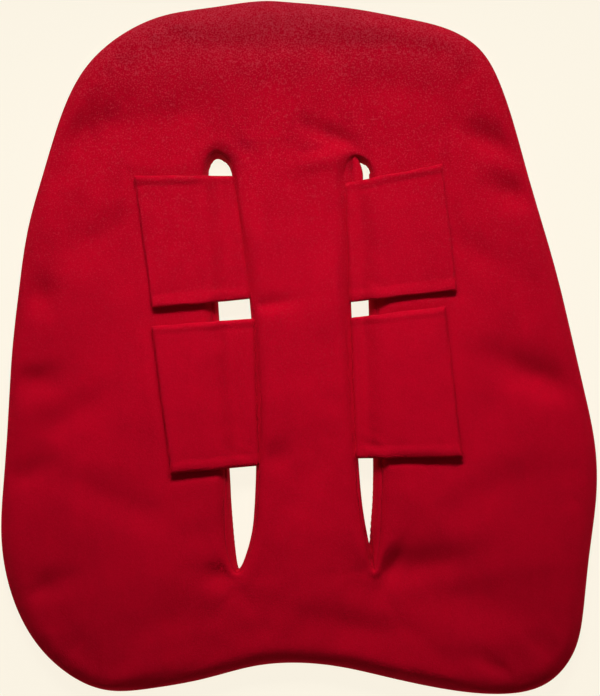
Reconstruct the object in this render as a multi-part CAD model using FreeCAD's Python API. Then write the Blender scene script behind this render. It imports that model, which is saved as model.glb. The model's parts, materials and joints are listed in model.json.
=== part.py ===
"""Strap-on groin protector: a flat padded panel with two long slots and four flaps that wrap harness straps.

Frame: millimetres, +Z out of the front face, +Y towards the waist edge, +X to the right of someone looking
at the front.  The origin is under the middle of the panel, on the flat back face.
The panel is a sewn and turned pad: a front cover that wraps round the edge, a flat back cover, and two
layers of foam between them.  Each slot is lined with a facing.  Each flap is a folded strip of the same
cloth, sewn into the slot wall beside the spine, and it closes over a harness strap with hook tape.
"""

import os

import FreeCAD
import Part
from FreeCAD import Vector

# ---- driving dimensions ----
COVER = 1.2  # thickness of the cover cloth
IMPACT = 5.0  # firm foam layer, against the back cover
COMFORT = 3.0  # soft foam layer, under the front cover
EDGE_ROUND = 6.0  # rounding of the panel's front edge
MARGIN_WIDTH = 6.0  # front cover's sewn margin, turned in over the back cover
MARGIN_THICK = 0.8
THREAD = 0.6  # thickness of sewing thread and of a row of stitches

FACING = 1.0  # thickness of the facing cloth that lines a slot

FLAP_CLOTH = 0.8  # one layer of a folded flap
FLAP_FILL = 1.0  # interlining inside a flap
TAPE = 1.0  # hook tape
TAPE_WIDTH = 20.0
TAPE_INSET = 4.0  # from the tape to the flap's three free edges
LAY_GAP = 0.3  # free space between the closed tape and the panel
FLAP_CORNER = 2.5  # corner radius at the flap's free end
TAIL_THICK = 1.6  # the flap's sewn tail, down the slot wall
TAIL_FOOT = 2.0  # height of the tail's lower edge
STITCH_LONG = 2.4
STITCH_PITCH = 4.0

PANEL = 2 * COVER + IMPACT + COMFORT
FOAM_TOP = PANEL - COVER
FLAP_LOW = PANEL + LAY_GAP + TAPE
FLAP_THICK = 2 * FLAP_CLOTH + FLAP_FILL
SEAM_INSET = 2.0  # from the corners of the hook tape to the corners of its stitching
EPS = 0.01
WIDE = 500.0  # wider than the whole panel

# Panel outline, clockwise from the middle of the waist edge.
OUTLINE = [
    (-2, 175.4), (18, 173), (40, 169.5), (62, 164.5), (85, 157.5), (99.5, 147), (108.5, 130), (115, 108),
    (121, 82.5), (128, 55), (134, 30), (139.5, 2), (144.5, -24), (149.2, -54), (149, -76), (144, -108),
    (140, -136), (134.5, -156), (119.5, -171.5), (98, -175.5), (72, -172.5), (43, -165.5), (16, -158.5),
    (-6, -155.8), (-26, -156.8), (-50, -162), (-78, -166), (-101, -165.8), (-119, -157), (-135, -140),
    (-146, -115), (-149.7, -87), (-147.5, -60), (-144, -28), (-141, 3), (-136, 37), (-130, 68),
    (-121, 96), (-111, 124), (-98, 146.5), (-80, 161.5), (-58, 170.5), (-34, 173.5),
]

# The two slots, clockwise from the top end: the edge of the opening in the front face, and in the back face.
SLOTS = {
    "left": {
        "front": [
            (-34, 101.5), (-28.2, 97), (-25.6, 84), (-20.6, 40), (-18.4, -8), (-19, -50), (-21.4, -80),
            (-26, -101), (-32.6, -110.5), (-37, -100), (-36.8, -70), (-38, -25), (-39.6, 30), (-41, 84),
            (-39.6, 97),
        ],
        "back": [
            (-33.5, 97.5), (-29.2, 94.5), (-26.8, 84), (-21.4, 40), (-19.2, -8), (-19.8, -50), (-22, -80),
            (-26.2, -99), (-31, -108.5), (-32.8, -98), (-34.2, -70), (-35.4, -25), (-37, 30), (-39, 84),
            (-38, 94),
        ],
    },
    "right": {
        "front": [
            (35.4, 96.5), (41, 93), (42.6, 82), (42.2, 40), (41.9, -10), (41.8, -55), (40.8, -84),
            (38.6, -103), (36.2, -112), (34.2, -103), (31.4, -88), (29.4, -62), (28.4, -20), (28.2, 50),
            (28.2, 76), (30.2, 91.5),
        ],
        "back": [
            (36.5, 93), (40.8, 90.5), (41.4, 80), (38.8, 40), (38.3, -10), (37.8, -55), (36.2, -80),
            (34.8, -92), (33.7, -99), (32.8, -95), (31.4, -86), (29.8, -62), (29.2, -20), (29, 50),
            (29.1, 74), (31.2, 87.5),
        ],
    },
}

# Each flap's four corners: root top, root bottom, free bottom, free top.  The root is its hinge line.
FLAPS = {
    "upper_left": [(-26.1, 88.5), (-19.7, 27.2), (-69.3, 23.8), (-76, 90.8)],
    "lower_left": [(-18.6, 17), (-18.9, -56.3), (-63.5, -58.8), (-70.5, 15.2)],
    "upper_right": [(28.6, 82.6), (28.8, 23.4), (82.6, 27), (77.5, 90.8)],
    "lower_right": [(28.8, 15.4), (28.8, -54.6), (82.6, -56.2), (76.5, 19.3)],
}


def closed_curve(points):
    """Smooth closed curve through the points, in the plane z = 0."""
    curve = Part.BSplineCurve()
    curve.interpolate(Points=[Vector(x, y, 0) for x, y in points], PeriodicFlag=True)
    return curve


def moved_in(points, distance):
    """The points of a clockwise outline, moved inwards by a distance, square to its curve."""
    curve = closed_curve(points)
    moved = []
    for x, y in points:
        tangent = curve.tangent(curve.parameter(Vector(x, y, 0)))[0]
        tangent.normalize()
        moved.append((x + tangent.y * distance, y - tangent.x * distance))
    return moved


def outline_wire(points, z):
    wire = Part.Wire([closed_curve(points).toShape()])
    wire.translate(Vector(0, 0, z))
    return wire


def slab(points, low, high):
    """Solid with a curved outline between two heights."""
    return Part.Face(outline_wire(points, low)).extrude(Vector(0, 0, high - low))


def rounded_slab(points, low, high, radius):
    """The same, with its upper edge rounded."""
    solid = slab(points, low, high)
    rim = [e for e in solid.Edges if abs(e.BoundBox.ZMin - high) < EPS and abs(e.BoundBox.ZMax - high) < EPS]
    return solid.makeFillet(radius, rim)


def ring(points, outer, inner, low, high):
    """Band that follows an outline, between two insets and two heights."""
    return slab(moved_in(points, outer), low, high).cut(slab(moved_in(points, inner), low, high))


def between(solid, low, high):
    """What a solid has between two heights."""
    return solid.common(Part.makeBox(WIDE, WIDE, high - low, Vector(-WIDE / 2, -WIDE / 2, low)))


def slot_space(edges, widen):
    """Hole that narrows from the front to the back, its wall moved outwards by widen."""
    back = outline_wire(moved_in(edges["back"], -widen), 0)
    front = outline_wire(moved_in(edges["front"], -widen), PANEL)
    return Part.makeLoft([back, front], True, True)


# ---- panel ----
def make_panel():
    """The panel's covers, foams, facings and hidden seams, by node name."""
    holes = {side: slot_space(edges, 0) for side, edges in SLOTS.items()}
    wells = {side: slot_space(edges, FACING) for side, edges in SLOTS.items()}
    outside = rounded_slab(OUTLINE, 0, PANEL, EDGE_ROUND)
    inside = rounded_slab(moved_in(OUTLINE, COVER), COVER, FOAM_TOP, EDGE_ROUND - COVER)
    margin = ring(OUTLINE, COVER, MARGIN_WIDTH, COVER, COVER + MARGIN_THICK)
    seam_low = COVER + MARGIN_THICK
    seam = ring(OUTLINE, MARGIN_WIDTH / 2, MARGIN_WIDTH / 2 + THREAD, seam_low, seam_low + THREAD)

    shell = outside
    foam = inside.cut(margin).cut(seam)
    for side in SLOTS:
        shell = shell.cut(holes[side])
        foam = foam.cut(wells[side])
    nodes = {
        "back_cover": between(shell, 0, COVER),
        "front_cover": between(shell, COVER, PANEL).cut(inside).fuse(margin).removeSplitter(),
        "perimeter_stitching": seam,
    }
    for side, edges in SLOTS.items():
        lining = between(wells[side].cut(holes[side]), COVER, FOAM_TOP)
        stitches = between(slot_space(edges, FACING + THREAD).cut(wells[side]), COVER, COVER + THREAD)
        foam = foam.cut(stitches)
        nodes[f"slot_facing_{side}"] = lining
        nodes[f"slot_stitching_{side}"] = stitches
    nodes["impact_foam"] = between(foam, COVER, COVER + IMPACT)
    nodes["comfort_foam"] = between(foam, COVER + IMPACT, FOAM_TOP)
    return nodes


# ---- flaps ----
class Flap:
    """A flap's own directions: along its root from bottom to top, and out across it to the free end."""

    def __init__(self, corners):
        flat = [Vector(x, y, 0) for x, y in corners]
        self.root_top, self.root_bottom, self.free_bottom, self.free_top = flat
        self.along = (self.root_top - self.root_bottom).normalize()
        side = 1 if self.free_top.x > self.root_top.x else -1
        self.out = Vector(self.along.y, -self.along.x, 0) * side
        self.length = (self.root_top - self.root_bottom).Length

    def at(self, across, along, z):
        """Point a distance out from the root's bottom end and a distance along the root."""
        point = self.root_bottom + self.out * across + self.along * along
        return Vector(point.x, point.y, z)


def plate(points, low, high):
    """Straight-sided solid between two heights."""
    corners = [Vector(p.x, p.y, low) for p in points]
    return Part.Face(Part.makePolygon(corners + corners[:1])).extrude(Vector(0, 0, high - low))


def shrunk(flap, edge, root):
    """The flap's four corners, moved in by edge at its free sides and by root at the root."""
    def moved(corner, beside_1, beside_2, gap_1, gap_2):
        """Corner where two sides meet, each side moved in parallel to itself by its own gap."""
        u, v = (beside_1 - corner).normalize(), (beside_2 - corner).normalize()
        lean = abs(u.x * v.y - u.y * v.x)
        return corner + u * (gap_2 / lean) + v * (gap_1 / lean)

    rt, rb, fb, ft = flap.root_top, flap.root_bottom, flap.free_bottom, flap.free_top
    return [
        moved(rt, rb, ft, root, edge), moved(rb, rt, fb, root, edge),
        moved(fb, rb, ft, edge, edge), moved(ft, rt, fb, edge, edge),
    ]


def stitch_row(start, end, out, depth):
    """Row of separate stitches from start to end; each is a small bar that reaches depth along out."""
    run = end - start
    count = int(run.Length // STITCH_PITCH)
    step = run.normalize()
    across = step.cross(out).normalize()
    bars = []
    for n in range(count):
        corner = start + step * ((n + 0.5) * STITCH_PITCH - STITCH_LONG / 2) - across * (THREAD / 2)
        outline = [corner, corner + step * STITCH_LONG, corner + step * STITCH_LONG + across * THREAD,
                   corner + across * THREAD, corner]
        bars.append(Part.Face(Part.makePolygon(outline)).extrude(out * depth))
    return Part.makeCompound(bars)


def make_flap(corners):
    """The moving parts of one flap: cover, interlining, hook tape and the tape's stitching."""
    flap = Flap(corners)
    outer = plate(shrunk(flap, 0, 0), FLAP_LOW, FLAP_LOW + FLAP_THICK)
    middle_height = FLAP_LOW + FLAP_THICK / 2
    free = [
        edge for edge in outer.Edges for corner in (flap.free_bottom, flap.free_top)
        if (edge.CenterOfMass - Vector(corner.x, corner.y, middle_height)).Length < EPS
    ]
    outer = outer.makeFillet(FLAP_CORNER, free)
    fill = plate(shrunk(flap, FLAP_CLOTH, 0), FLAP_LOW + FLAP_CLOTH, FLAP_LOW + FLAP_CLOTH + FLAP_FILL)
    cover = outer.cut(fill)

    root_top, root_bottom, tape_fb, tape_ft = shrunk(flap, TAPE_INSET, 0)
    back_along_top = (root_top - tape_ft).normalize() * TAPE_WIDTH
    back_along_bottom = (root_bottom - tape_fb).normalize() * TAPE_WIDTH
    tape_corners = [tape_ft + back_along_top, tape_fb + back_along_bottom, tape_fb, tape_ft]
    tape = plate(tape_corners, FLAP_LOW - TAPE, FLAP_LOW)
    middle = (tape_corners[0] + tape_corners[2]) * 0.5
    box = [c + (middle - c).normalize() * SEAM_INSET for c in tape_corners]
    bottom = FLAP_LOW - TAPE
    rows = [
        stitch_row(Vector(a.x, a.y, bottom), Vector(b.x, b.y, bottom), Vector(0, 0, 1), THREAD / 2)
        for a, b in zip(box, box[1:] + box[:1])
    ]
    stitching = Part.makeCompound([bar for row in rows for bar in row.Solids])
    tape = tape.cut(stitching)
    return {"cover": cover, "interlining": fill, "hook_tape": tape, "tape_stitching": stitching}


def make_tail(corners, walls):
    """The flap's tail, sewn into the slot against the walls, and the row of stitches through it."""
    flap = Flap(corners)
    top = FLAP_LOW - LAY_GAP
    section = [(-FACING, TAIL_FOOT), (-FACING, PANEL), (0, PANEL), (0, top), (TAIL_THICK, top),
               (TAIL_THICK, TAIL_FOOT)]
    outline = [flap.at(across, 0, z) for across, z in section]
    tail = Part.Face(Part.makePolygon(outline + outline[:1])).extrude(flap.along * flap.length)
    for wall in walls:
        tail = tail.cut(wall)

    height = TAIL_FOOT + 2 * THREAD
    depth = TAIL_THICK - THREAD / 2
    start = flap.at(depth, STITCH_PITCH / 2, height)
    end = flap.at(depth, flap.length - STITCH_PITCH / 2, height)
    stitches = stitch_row(start, end, flap.out, THREAD)
    return largest(tail.cut(stitches)), stitches


def largest(shape):
    """The shape's biggest solid: a cut can leave slivers where a flat tail meets a curved wall."""
    return max(shape.Solids, key=lambda s: s.Volume)


def make_all():
    nodes = make_panel()
    for name, corners in FLAPS.items():
        side = name.split("_")[1]
        walls = [nodes[f"slot_facing_{side}"], nodes["front_cover"], nodes["back_cover"]]
        for piece, shape in make_flap(corners).items():
            nodes[f"flap_{name}_{piece}"] = shape
        tail, stitches = make_tail(corners, walls)
        nodes[f"flap_{name}_sewn_tail"] = tail
        nodes[f"flap_{name}_root_stitching"] = stitches
    return nodes


def main():
    os.makedirs("parts", exist_ok=True)
    for name, shape in make_all().items():
        solids = shape.Solids
        volume = sum(s.Volume for s in solids)
        print(f"{name}: {len(solids)} solids, {volume:.1f} mm3, valid {shape.isValid()}")
        shape.exportStep(f"parts/{name}.step")


main()
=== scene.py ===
"""Looks of a strap-on groin protector: a sewn and turned pad in brushed loop cloth, with two long slots and
four flaps that fold over harness straps.

Every piece is made in metres in the frame of the packed model: +Z out of the front face, +Y towards the waist
edge, +X to the right of someone who looks at the front.  Lengths in settings are metres too.
"""

import json
import math

import bmesh
import bpy
import numpy as np
from bpy.props import FloatProperty, FloatVectorProperty, IntProperty, PointerProperty
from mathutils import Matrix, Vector, geometry, kdtree, noise


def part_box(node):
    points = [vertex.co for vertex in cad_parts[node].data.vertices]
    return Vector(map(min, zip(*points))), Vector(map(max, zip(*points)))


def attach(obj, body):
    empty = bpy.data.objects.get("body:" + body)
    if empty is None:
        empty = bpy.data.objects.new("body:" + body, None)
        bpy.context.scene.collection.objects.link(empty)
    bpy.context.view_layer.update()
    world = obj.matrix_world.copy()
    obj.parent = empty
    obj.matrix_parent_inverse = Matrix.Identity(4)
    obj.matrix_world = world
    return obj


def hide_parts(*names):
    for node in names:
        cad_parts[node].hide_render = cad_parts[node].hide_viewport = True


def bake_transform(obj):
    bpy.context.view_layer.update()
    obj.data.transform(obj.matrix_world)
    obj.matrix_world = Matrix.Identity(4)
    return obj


bl_info = {
    "name": "Groin Protector",
    "version": (1, 0, 0),
    "blender": (4, 5, 0),
    "location": "3D View > Sidebar > Protector",
    "description": "Makes the covers, foams, flaps, hook tape and seams of a padded groin protector",
    "category": "Add Mesh",
}

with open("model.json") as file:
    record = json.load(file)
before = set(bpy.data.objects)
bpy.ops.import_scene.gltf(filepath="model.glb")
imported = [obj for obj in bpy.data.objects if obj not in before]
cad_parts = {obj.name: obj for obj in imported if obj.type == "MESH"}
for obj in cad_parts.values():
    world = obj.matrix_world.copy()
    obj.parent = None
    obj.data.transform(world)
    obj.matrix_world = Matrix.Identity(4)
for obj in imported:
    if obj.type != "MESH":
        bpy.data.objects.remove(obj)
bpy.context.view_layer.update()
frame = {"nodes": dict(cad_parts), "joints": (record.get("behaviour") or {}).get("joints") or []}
MM = 0.001
SIDES = ("left", "right")
FLAPS = ("upper_left", "lower_left", "upper_right", "lower_right")
FRONT, BACK, LEFT_LINING, RIGHT_LINING = range(4)
PLY = 1.0 * MM  # thickness of one layer of cover cloth
RIM_SPACING = 3.0 * MM  # between the points of the panel's outline


# ---- settings ----
def length_setting(name, default, description):
    """Setting that is a length; the default is in millimetres."""
    return FloatProperty(name=name, description=description, default=default * MM, subtype="DISTANCE")


def colour_setting(name, default, description):
    """Setting that is a colour, as linear light."""
    return FloatVectorProperty(name=name, description=description, default=default, subtype="COLOR")


class PanelSettings(bpy.types.PropertyGroup):
    """Shape of the padded panel"""

    cell: length_setting("Cell", 3.6, "Size of the cloth's mesh")
    swell: length_setting("Swell", 1.3, "Most that the filling lifts the cloth")
    pressure: FloatProperty(name="Pressure", description="Push of the filling on the cloth", default=4.0, min=0)
    bead: length_setting("Edge bead", 0.8, "Height of the bead that the seam margin makes")
    crumple: length_setting("Crumple", 0.85, "Height of the cloth's soft unevenness")


class FlapSettings(bpy.types.PropertyGroup):
    """Shape of the four flaps"""

    thickness: length_setting("Thickness", 2.3, "Of a folded flap")
    root_height: length_setting("Root height", 8.5, "Height at which a flap leaves the slot's wall")
    sag: length_setting("Sag", 1.1, "Of a flap over its slot")
    hem: length_setting("Hem", 0.42, "Extra thickness of the rolled long edges")
    hook_gap: length_setting("Hook spacing", 1.3, "Between hooks on the tape")


class SeamSettings(bpy.types.PropertyGroup):
    """Stitches"""

    pitch: length_setting("Pitch", 3.2, "From stitch to stitch")
    length: length_setting("Stitch", 2.4, "Length of one stitch")
    thread: length_setting("Thread", 0.22, "Radius of the thread")
    seed: IntProperty(name="Seed", description="For the stitches' small unevenness", default=5)


class FinishSettings(bpy.types.PropertyGroup):
    """Colours"""

    cloth: colour_setting("Cloth", (0.50, 0.0006, 0.0135), "Colour of the brushed cloth")
    nap: colour_setting("Nap", (0.64, 0.0020, 0.029), "Colour of the raised fibres")
    # Pale pink of the scattered fibre flecks and of the painted sheen and painted highlight towards the waist
    # edge
    sheen_and_flecks: colour_setting("Sheen and flecks", (0.58, 0.055, 0.085), "Colour of the pale flecks and of the painted sheen")
    tape: colour_setting("Hook tape", (0.30, 0.004, 0.018), "Colour of the tape and its hooks")
    floor: colour_setting("Floor", (0.974, 0.913, 0.784), "Colour of the floor")


def settings(name):
    return getattr(bpy.context.scene, f"protector_{name}")


# ---- nodes and finishes ----
def add_node(tree, kind, options=None, inputs=None):
    """Adds a node to a tree: its settings first, then the values or links of its sockets."""
    made = tree.nodes.new(kind)
    for key, value in (options or {}).items():
        setattr(made, key, value)
    for key, value in (inputs or {}).items():
        value = value.socket if isinstance(value, Term) else value
        if isinstance(value, bpy.types.NodeSocket):
            tree.links.new(value, made.inputs[key])
        else:
            made.inputs[key].default_value = value
    return made


class Term:
    """A shader value that takes part in sums as a number does."""

    def __init__(self, finish, socket):
        self.finish, self.socket = finish, socket

    def _math(self, operation, first, second):
        return self.finish.node("ShaderNodeMath", {"operation": operation}, {0: first, 1: second})

    def __add__(self, other):
        return self._math("ADD", self, other)

    def __sub__(self, other):
        return self._math("SUBTRACT", self, other)

    def __mul__(self, other):
        return self._math("MULTIPLY", self, other)

    __radd__, __rmul__ = __add__, __mul__


class Finish:
    """A material under construction."""

    def __init__(self, name):
        self.material = bpy.data.materials.new(name)
        self.material.use_nodes = True
        self.tree = self.material.node_tree
        self.tree.nodes.clear()

    def node(self, kind, options=None, inputs=None, output=0):
        """Adds a node and gives one of its outputs, if it has any."""
        made = add_node(self.tree, kind, options, inputs)
        return Term(self, made.outputs[output]) if made.outputs else None

    def place(self, stretch=(1, 1, 1), turn=0.0):
        """Position on the piece, in metres, stretched and turned about Z."""
        where = self.node("ShaderNodeTexCoord", output="Object")
        inputs = {"Vector": where, "Scale": stretch, "Rotation": (0, 0, turn)}
        return self.node("ShaderNodeMapping", None, inputs)

    def height_up(self):
        """How far up towards the waist edge a point is, in metres."""
        where = self.node("ShaderNodeTexCoord", output="Object")
        return self.node("ShaderNodeSeparateXYZ", None, {0: where}, output="Y")

    def grain(self, size, where, detail=2.0, rough=0.5):
        """Noise from 0 to 1 whose lumps are about size across, in metres."""
        return self.node(
            "ShaderNodeTexNoise", None,
            {"Vector": where, "Scale": 1 / size, "Detail": detail, "Roughness": rough},
        )

    def blend(self, low, high, share):
        """Colour between two colours."""
        low, high = (end if isinstance(end, Term) else (*end, 1) for end in (low, high))
        return self.node(
            "ShaderNodeMix", {"data_type": "RGBA", "clamp_factor": True},
            {"Factor": share, 6: low, 7: high}, output=2,
        )

    def climb(self, value, start, end):
        """Smooth climb from 0 to 1 as a value goes from start to end."""
        return self.node(
            "ShaderNodeMapRange", {"interpolation_type": "SMOOTHSTEP"},
            {"Value": value, "From Min": start, "From Max": end},
        )

    def bump(self, height, depth):
        """Fine relief, whose depth is in metres."""
        return self.node("ShaderNodeBump", None, {"Height": height, "Distance": depth, "Strength": 1.0})

    def twill(self, scale, turn, distortion=0.0):
        """Straight bands from 0 to 1, turned about Z."""
        return self.node(
            "ShaderNodeTexWave", {"wave_type": "BANDS", "bands_direction": "X"},
            {"Vector": self.place(turn=turn), "Scale": scale, "Distortion": distortion}, output="Fac",
        )

    def done(self, colour, roughness, normal=None, **constants):
        """Closes the material with one shader; constants are set on its own sockets."""
        inputs = {"Base Color": colour, "Roughness": roughness}
        if normal is not None:
            inputs["Normal"] = normal
        inputs.update({key.replace("_", " "): value for key, value in constants.items()})
        shader = self.node("ShaderNodeBsdfPrincipled", None, inputs)
        self.node("ShaderNodeOutputMaterial", None, {"Surface": shader})
        return self.material


def brushed_cloth(name, nap_share, depth):
    """Knitted loop cloth with a brushed nap: soft clouds of tone, fine loops, and pale fibre tips, with a
    painted sheen that grows towards the waist edge and a painted highlight along that edge."""
    finish, colours = Finish(name), settings("finish")
    base, tips = Vector(colours.cloth), Vector(colours.nap)
    where = finish.place()
    brushed = finish.place((1, 0.35, 1), math.radians(12))
    clouds = finish.grain(26 * MM, where, 3.0, 0.6)
    lie = finish.grain(5 * MM, brushed, 3.0, 0.6)
    loops = finish.grain(0.75 * MM, where, 2.0, 0.6)
    fibres = finish.grain(0.4 * MM, brushed, 3.0, 0.7)
    specks = finish.grain(0.8 * MM, where, 1.5, 0.5)
    tone = finish.blend(base * 0.80, base * 1.10, clouds + lie * 0.4 - 0.2)
    shade = finish.blend(tone, tips, (loops + fibres * 0.8 - 0.78) * nap_share)
    # Painted sheen: the cloth turns paler towards the waist edge, and a painted highlight lies along that edge.
    waist = finish.climb(finish.height_up(), -0.05, 0.15)
    edge = finish.climb(finish.height_up(), 0.12, 0.19)
    # Mask of the pale colour: a few random flecks everywhere, many more towards the waist edge as painted
    # sheen, and the band of painted highlight along it.
    raised = (specks * 3.4 - 1.75) * (waist * 0.42 + 0.05) + edge * (lie * 0.5 + specks * 0.5 - 0.1)
    shade = finish.blend(shade, colours.sheen_and_flecks, raised * nap_share)
    height = loops * 0.5 + fibres * 0.3 + lie * 0.5
    return finish.done(
        shade, loops * 0.12 + 0.84, finish.bump(height, depth),
        Specular_IOR_Level=0.03, Sheen_Weight=0.12, Sheen_Roughness=0.45, Sheen_Tint=(1.0, 0.06, 0.12, 1.0),
    )


def foam(name, colour, cell):
    """Cut foam: small round cells of uneven size."""
    finish = Finish(name)
    cells = finish.node(
        "ShaderNodeTexVoronoi", {"feature": "F1"}, {"Vector": finish.place(), "Scale": 1 / cell},
        output="Distance",
    )
    shade = finish.blend(Vector(colour) * 0.55, colour, cells * 1.6)
    return finish.done(shade, 0.95, finish.bump(cells, 0.3 * MM), Specular_IOR_Level=0.2)


def hook_plastic(name):
    """Nylon hooks and their woven base."""
    finish, colour = Finish(name), Vector(settings("finish").tape)
    weave = finish.twill(320.0, math.radians(45), 0.6)
    dust = finish.grain(3 * MM, finish.place(turn=math.radians(45)))
    shade = finish.blend(colour * 0.7, colour * 1.25, weave * 0.6 + dust * 0.4)
    return finish.done(shade, dust * 0.2 + 0.38, finish.bump(weave, 0.1 * MM), Specular_IOR_Level=0.5)


def sewing_thread(name):
    """Twisted polyester thread."""
    finish, colour = Finish(name), Vector(settings("finish").cloth)
    twist = finish.twill(900.0, math.radians(35))
    shade = finish.blend(colour * 0.6, colour * 1.1, twist)
    return finish.done(shade, twist * 0.2 + 0.5, finish.bump(twist, 0.05 * MM), Specular_IOR_Level=0.4)


def finish_named(name):
    """The material of that name, made at its first use."""
    makers = {
        "cover_cloth": lambda n: brushed_cloth(n, 1.0, 0.3 * MM),
        "back_cloth": lambda n: brushed_cloth(n, 0.6, 0.16 * MM),
        "soft_foam": lambda n: foam(n, (0.72, 0.66, 0.50), 1.4 * MM),
        "firm_foam": lambda n: foam(n, (0.06, 0.06, 0.065), 0.8 * MM),
        "hook_tape": hook_plastic,
        "thread": sewing_thread,
    }
    return bpy.data.materials.get(name) or makers[name](name)


# ---- outlines ----
def level_loops(node, height):
    """Edges of a CAD node's flat face at that height, as closed lists of points, the longest first."""
    mesh = bmesh.new()
    mesh.from_mesh(frame["nodes"][node].data)
    bmesh.ops.remove_doubles(mesh, verts=mesh.verts, dist=0.005 * MM)
    level = {f for f in mesh.faces if all(abs(v.co.z - height) < 0.01 * MM for v in f.verts)}
    ways = {}
    for face in level:
        for edge in face.edges:
            if sum(f in level for f in edge.link_faces) == 1:
                a, b = edge.verts
                ways.setdefault(a, []).append(b)
                ways.setdefault(b, []).append(a)
    loops = []
    while ways:
        start = here = next(iter(ways))
        loop = []
        while here in ways:
            loop.append((here.co.x, here.co.y))
            nexts = ways.pop(here)
            here = next((n for n in nexts if n in ways), start)
        loops.append(np.array(loop))
    mesh.free()
    return sorted(loops, key=perimeter, reverse=True)


def perimeter(loop):
    return np.linalg.norm(np.roll(loop, -1, 0) - loop, axis=1).sum()


def evenly(line, count):
    """count + 1 points spaced evenly along an open line."""
    run = np.r_[0, np.cumsum(np.linalg.norm(np.diff(line, axis=0), axis=1))]
    places = np.linspace(0, run[-1], count + 1)
    return np.c_[np.interp(places, run, line[:, 0]), np.interp(places, run, line[:, 1])]


def clockwise(loop):
    """The loop, turned round if it runs anticlockwise."""
    area = np.sum(loop[:, 0] * np.roll(loop[:, 1], -1) - np.roll(loop[:, 0], -1) * loop[:, 1])
    return loop[::-1] if area > 0 else loop


def from_top(loop):
    """The loop, clockwise from its highest point, and the index of its lowest."""
    loop = clockwise(loop)
    loop = np.roll(loop, -int(loop[:, 1].argmax()), 0)
    return loop, int(loop[:, 1].argmin())


def slot_ring(loop, count):
    """A slot's edge as 2 * count points clockwise, with the ends of the slot at points 0 and count."""
    loop, low = from_top(loop)
    closed = np.vstack([loop, loop[:1]])
    return np.vstack([evenly(closed[: low + 1], count)[:-1], evenly(closed[low:], count)[:-1]])


def rim_ring(loop, count):
    """The panel's outline as count points, anticlockwise."""
    loop, _ = from_top(loop)
    return evenly(np.vstack([loop, loop[:1]]), count)[:-1][::-1]


def inward(ring):
    """Directions from each point of a ring into the cloth: to the left of the way it runs."""
    run = np.roll(ring, -1, 0) - np.roll(ring, 1, 0)
    run /= np.linalg.norm(run, axis=1)[:, None]
    return np.c_[-run[:, 1], run[:, 0]]


def holds(loop, points):
    """Which points lie inside a closed outline."""
    inside = np.zeros(len(points), bool)
    for (ax, ay), (bx, by) in zip(loop, np.roll(loop, -1, 0)):
        crosses = (ay > points[:, 1]) != (by > points[:, 1])
        where = ax + (points[:, 1] - ay) * (bx - ax) / (by - ay + 1e-15)
        inside ^= crosses & (points[:, 0] < where)
    return inside


def search_tree(spots):
    """Tree that finds the nearest of some flat points."""
    tree = kdtree.KDTree(len(spots))
    for n, (x, y) in enumerate(spots):
        tree.insert((x, y, 0), n)
    tree.balance()
    return tree


def clearance(points, loops):
    """Distance from each point to the nearest of the loops' points."""
    tree = search_tree(np.vstack(loops))
    return np.array([tree.find((x, y, 0))[2] for x, y in points])


# ---- meshes ----
def new_object(name, points, edges=(), faces=()):
    """Mesh object in the scene."""
    mesh = bpy.data.meshes.new(name)
    mesh.from_pydata([tuple(point) for point in points], edges, faces)
    mesh.update()
    made = bpy.data.objects.new(name, mesh)
    bpy.context.scene.collection.objects.link(made)
    return made


class Shell:
    """Points and faces of a closed form in the making; each face has a label."""

    def __init__(self):
        self.points, self.faces, self.labels = [], [], []

    def ring(self, flat, height):
        """Adds points at one height; gives their numbers."""
        start = len(self.points)
        self.points += [(x, y, height) for x, y in flat]
        return list(range(start, len(self.points)))

    def bridge(self, lower, upper, label):
        """Band of quads between two rings of one count; it faces right of the way the rings run."""
        count = len(lower)
        for n in range(count):
            m = (n + 1) % count
            self.faces.append((lower[n], lower[m], upper[m], upper[n]))
            self.labels.append(label)

    def fill(self, rim, holes, cell, height, label, facing_up, seed):
        """Even triangles between a rim ring and hole rings, all at one height."""
        flat = np.array(self.points)[:, :2]
        loops = [flat[ring] for ring in (rim, *holes)]
        low, high = loops[0].min(0), loops[0].max(0)
        rise = cell * math.sqrt(3) / 2
        grid = np.array([
            (x, low[1] + n * rise)
            for n in range(int((high[1] - low[1]) / rise))
            for x in np.arange(low[0] + (n % 2) * cell / 2, high[0], cell)
        ])
        grid += np.random.default_rng(seed).uniform(-0.14, 0.14, grid.shape) * cell
        keep = holds(loops[0], grid) & (clearance(grid, loops) > 0.62 * cell)
        for loop in loops[1:]:
            keep &= ~holds(loop, grid)
        inner = self.ring(grid[keep], height)
        known = [*rim, *[i for ring in holes for i in ring], *inner]
        edges, start = [], 0
        for ring in (rim, *holes):
            edges += [(start + n, start + (n + 1) % len(ring)) for n in range(len(ring))]
            start += len(ring)
        corners = [Vector(self.points[i][:2]) for i in known]
        found, _, faces, origin, _, _ = geometry.delaunay_2d_cdt(corners, edges, [], 0, 1e-9)
        middles = np.array([np.mean([found[i] for i in face], axis=0) for face in faces])
        wanted = holds(loops[0], middles)
        for loop in loops[1:]:
            wanted &= ~holds(loop, middles)
        for face, use in zip(faces, wanted):
            if use:
                triple = [known[origin[i][0]] for i in face]
                self.faces.append(tuple(triple if facing_up else reversed(triple)))
                self.labels.append(label)

    def build(self, name):
        """Mesh object, with the labels as material indices."""
        made = new_object(name, self.points, faces=self.faces)
        made.data.polygons.foreach_set("material_index", self.labels)
        made.data.update()
        return made


def positions(mesh):
    flat = np.empty(len(mesh.vertices) * 3)
    mesh.vertices.foreach_get("co", flat)
    return flat.reshape(-1, 3)


def set_positions(mesh, points):
    mesh.vertices.foreach_set("co", np.asarray(points).ravel())
    mesh.update()


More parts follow.
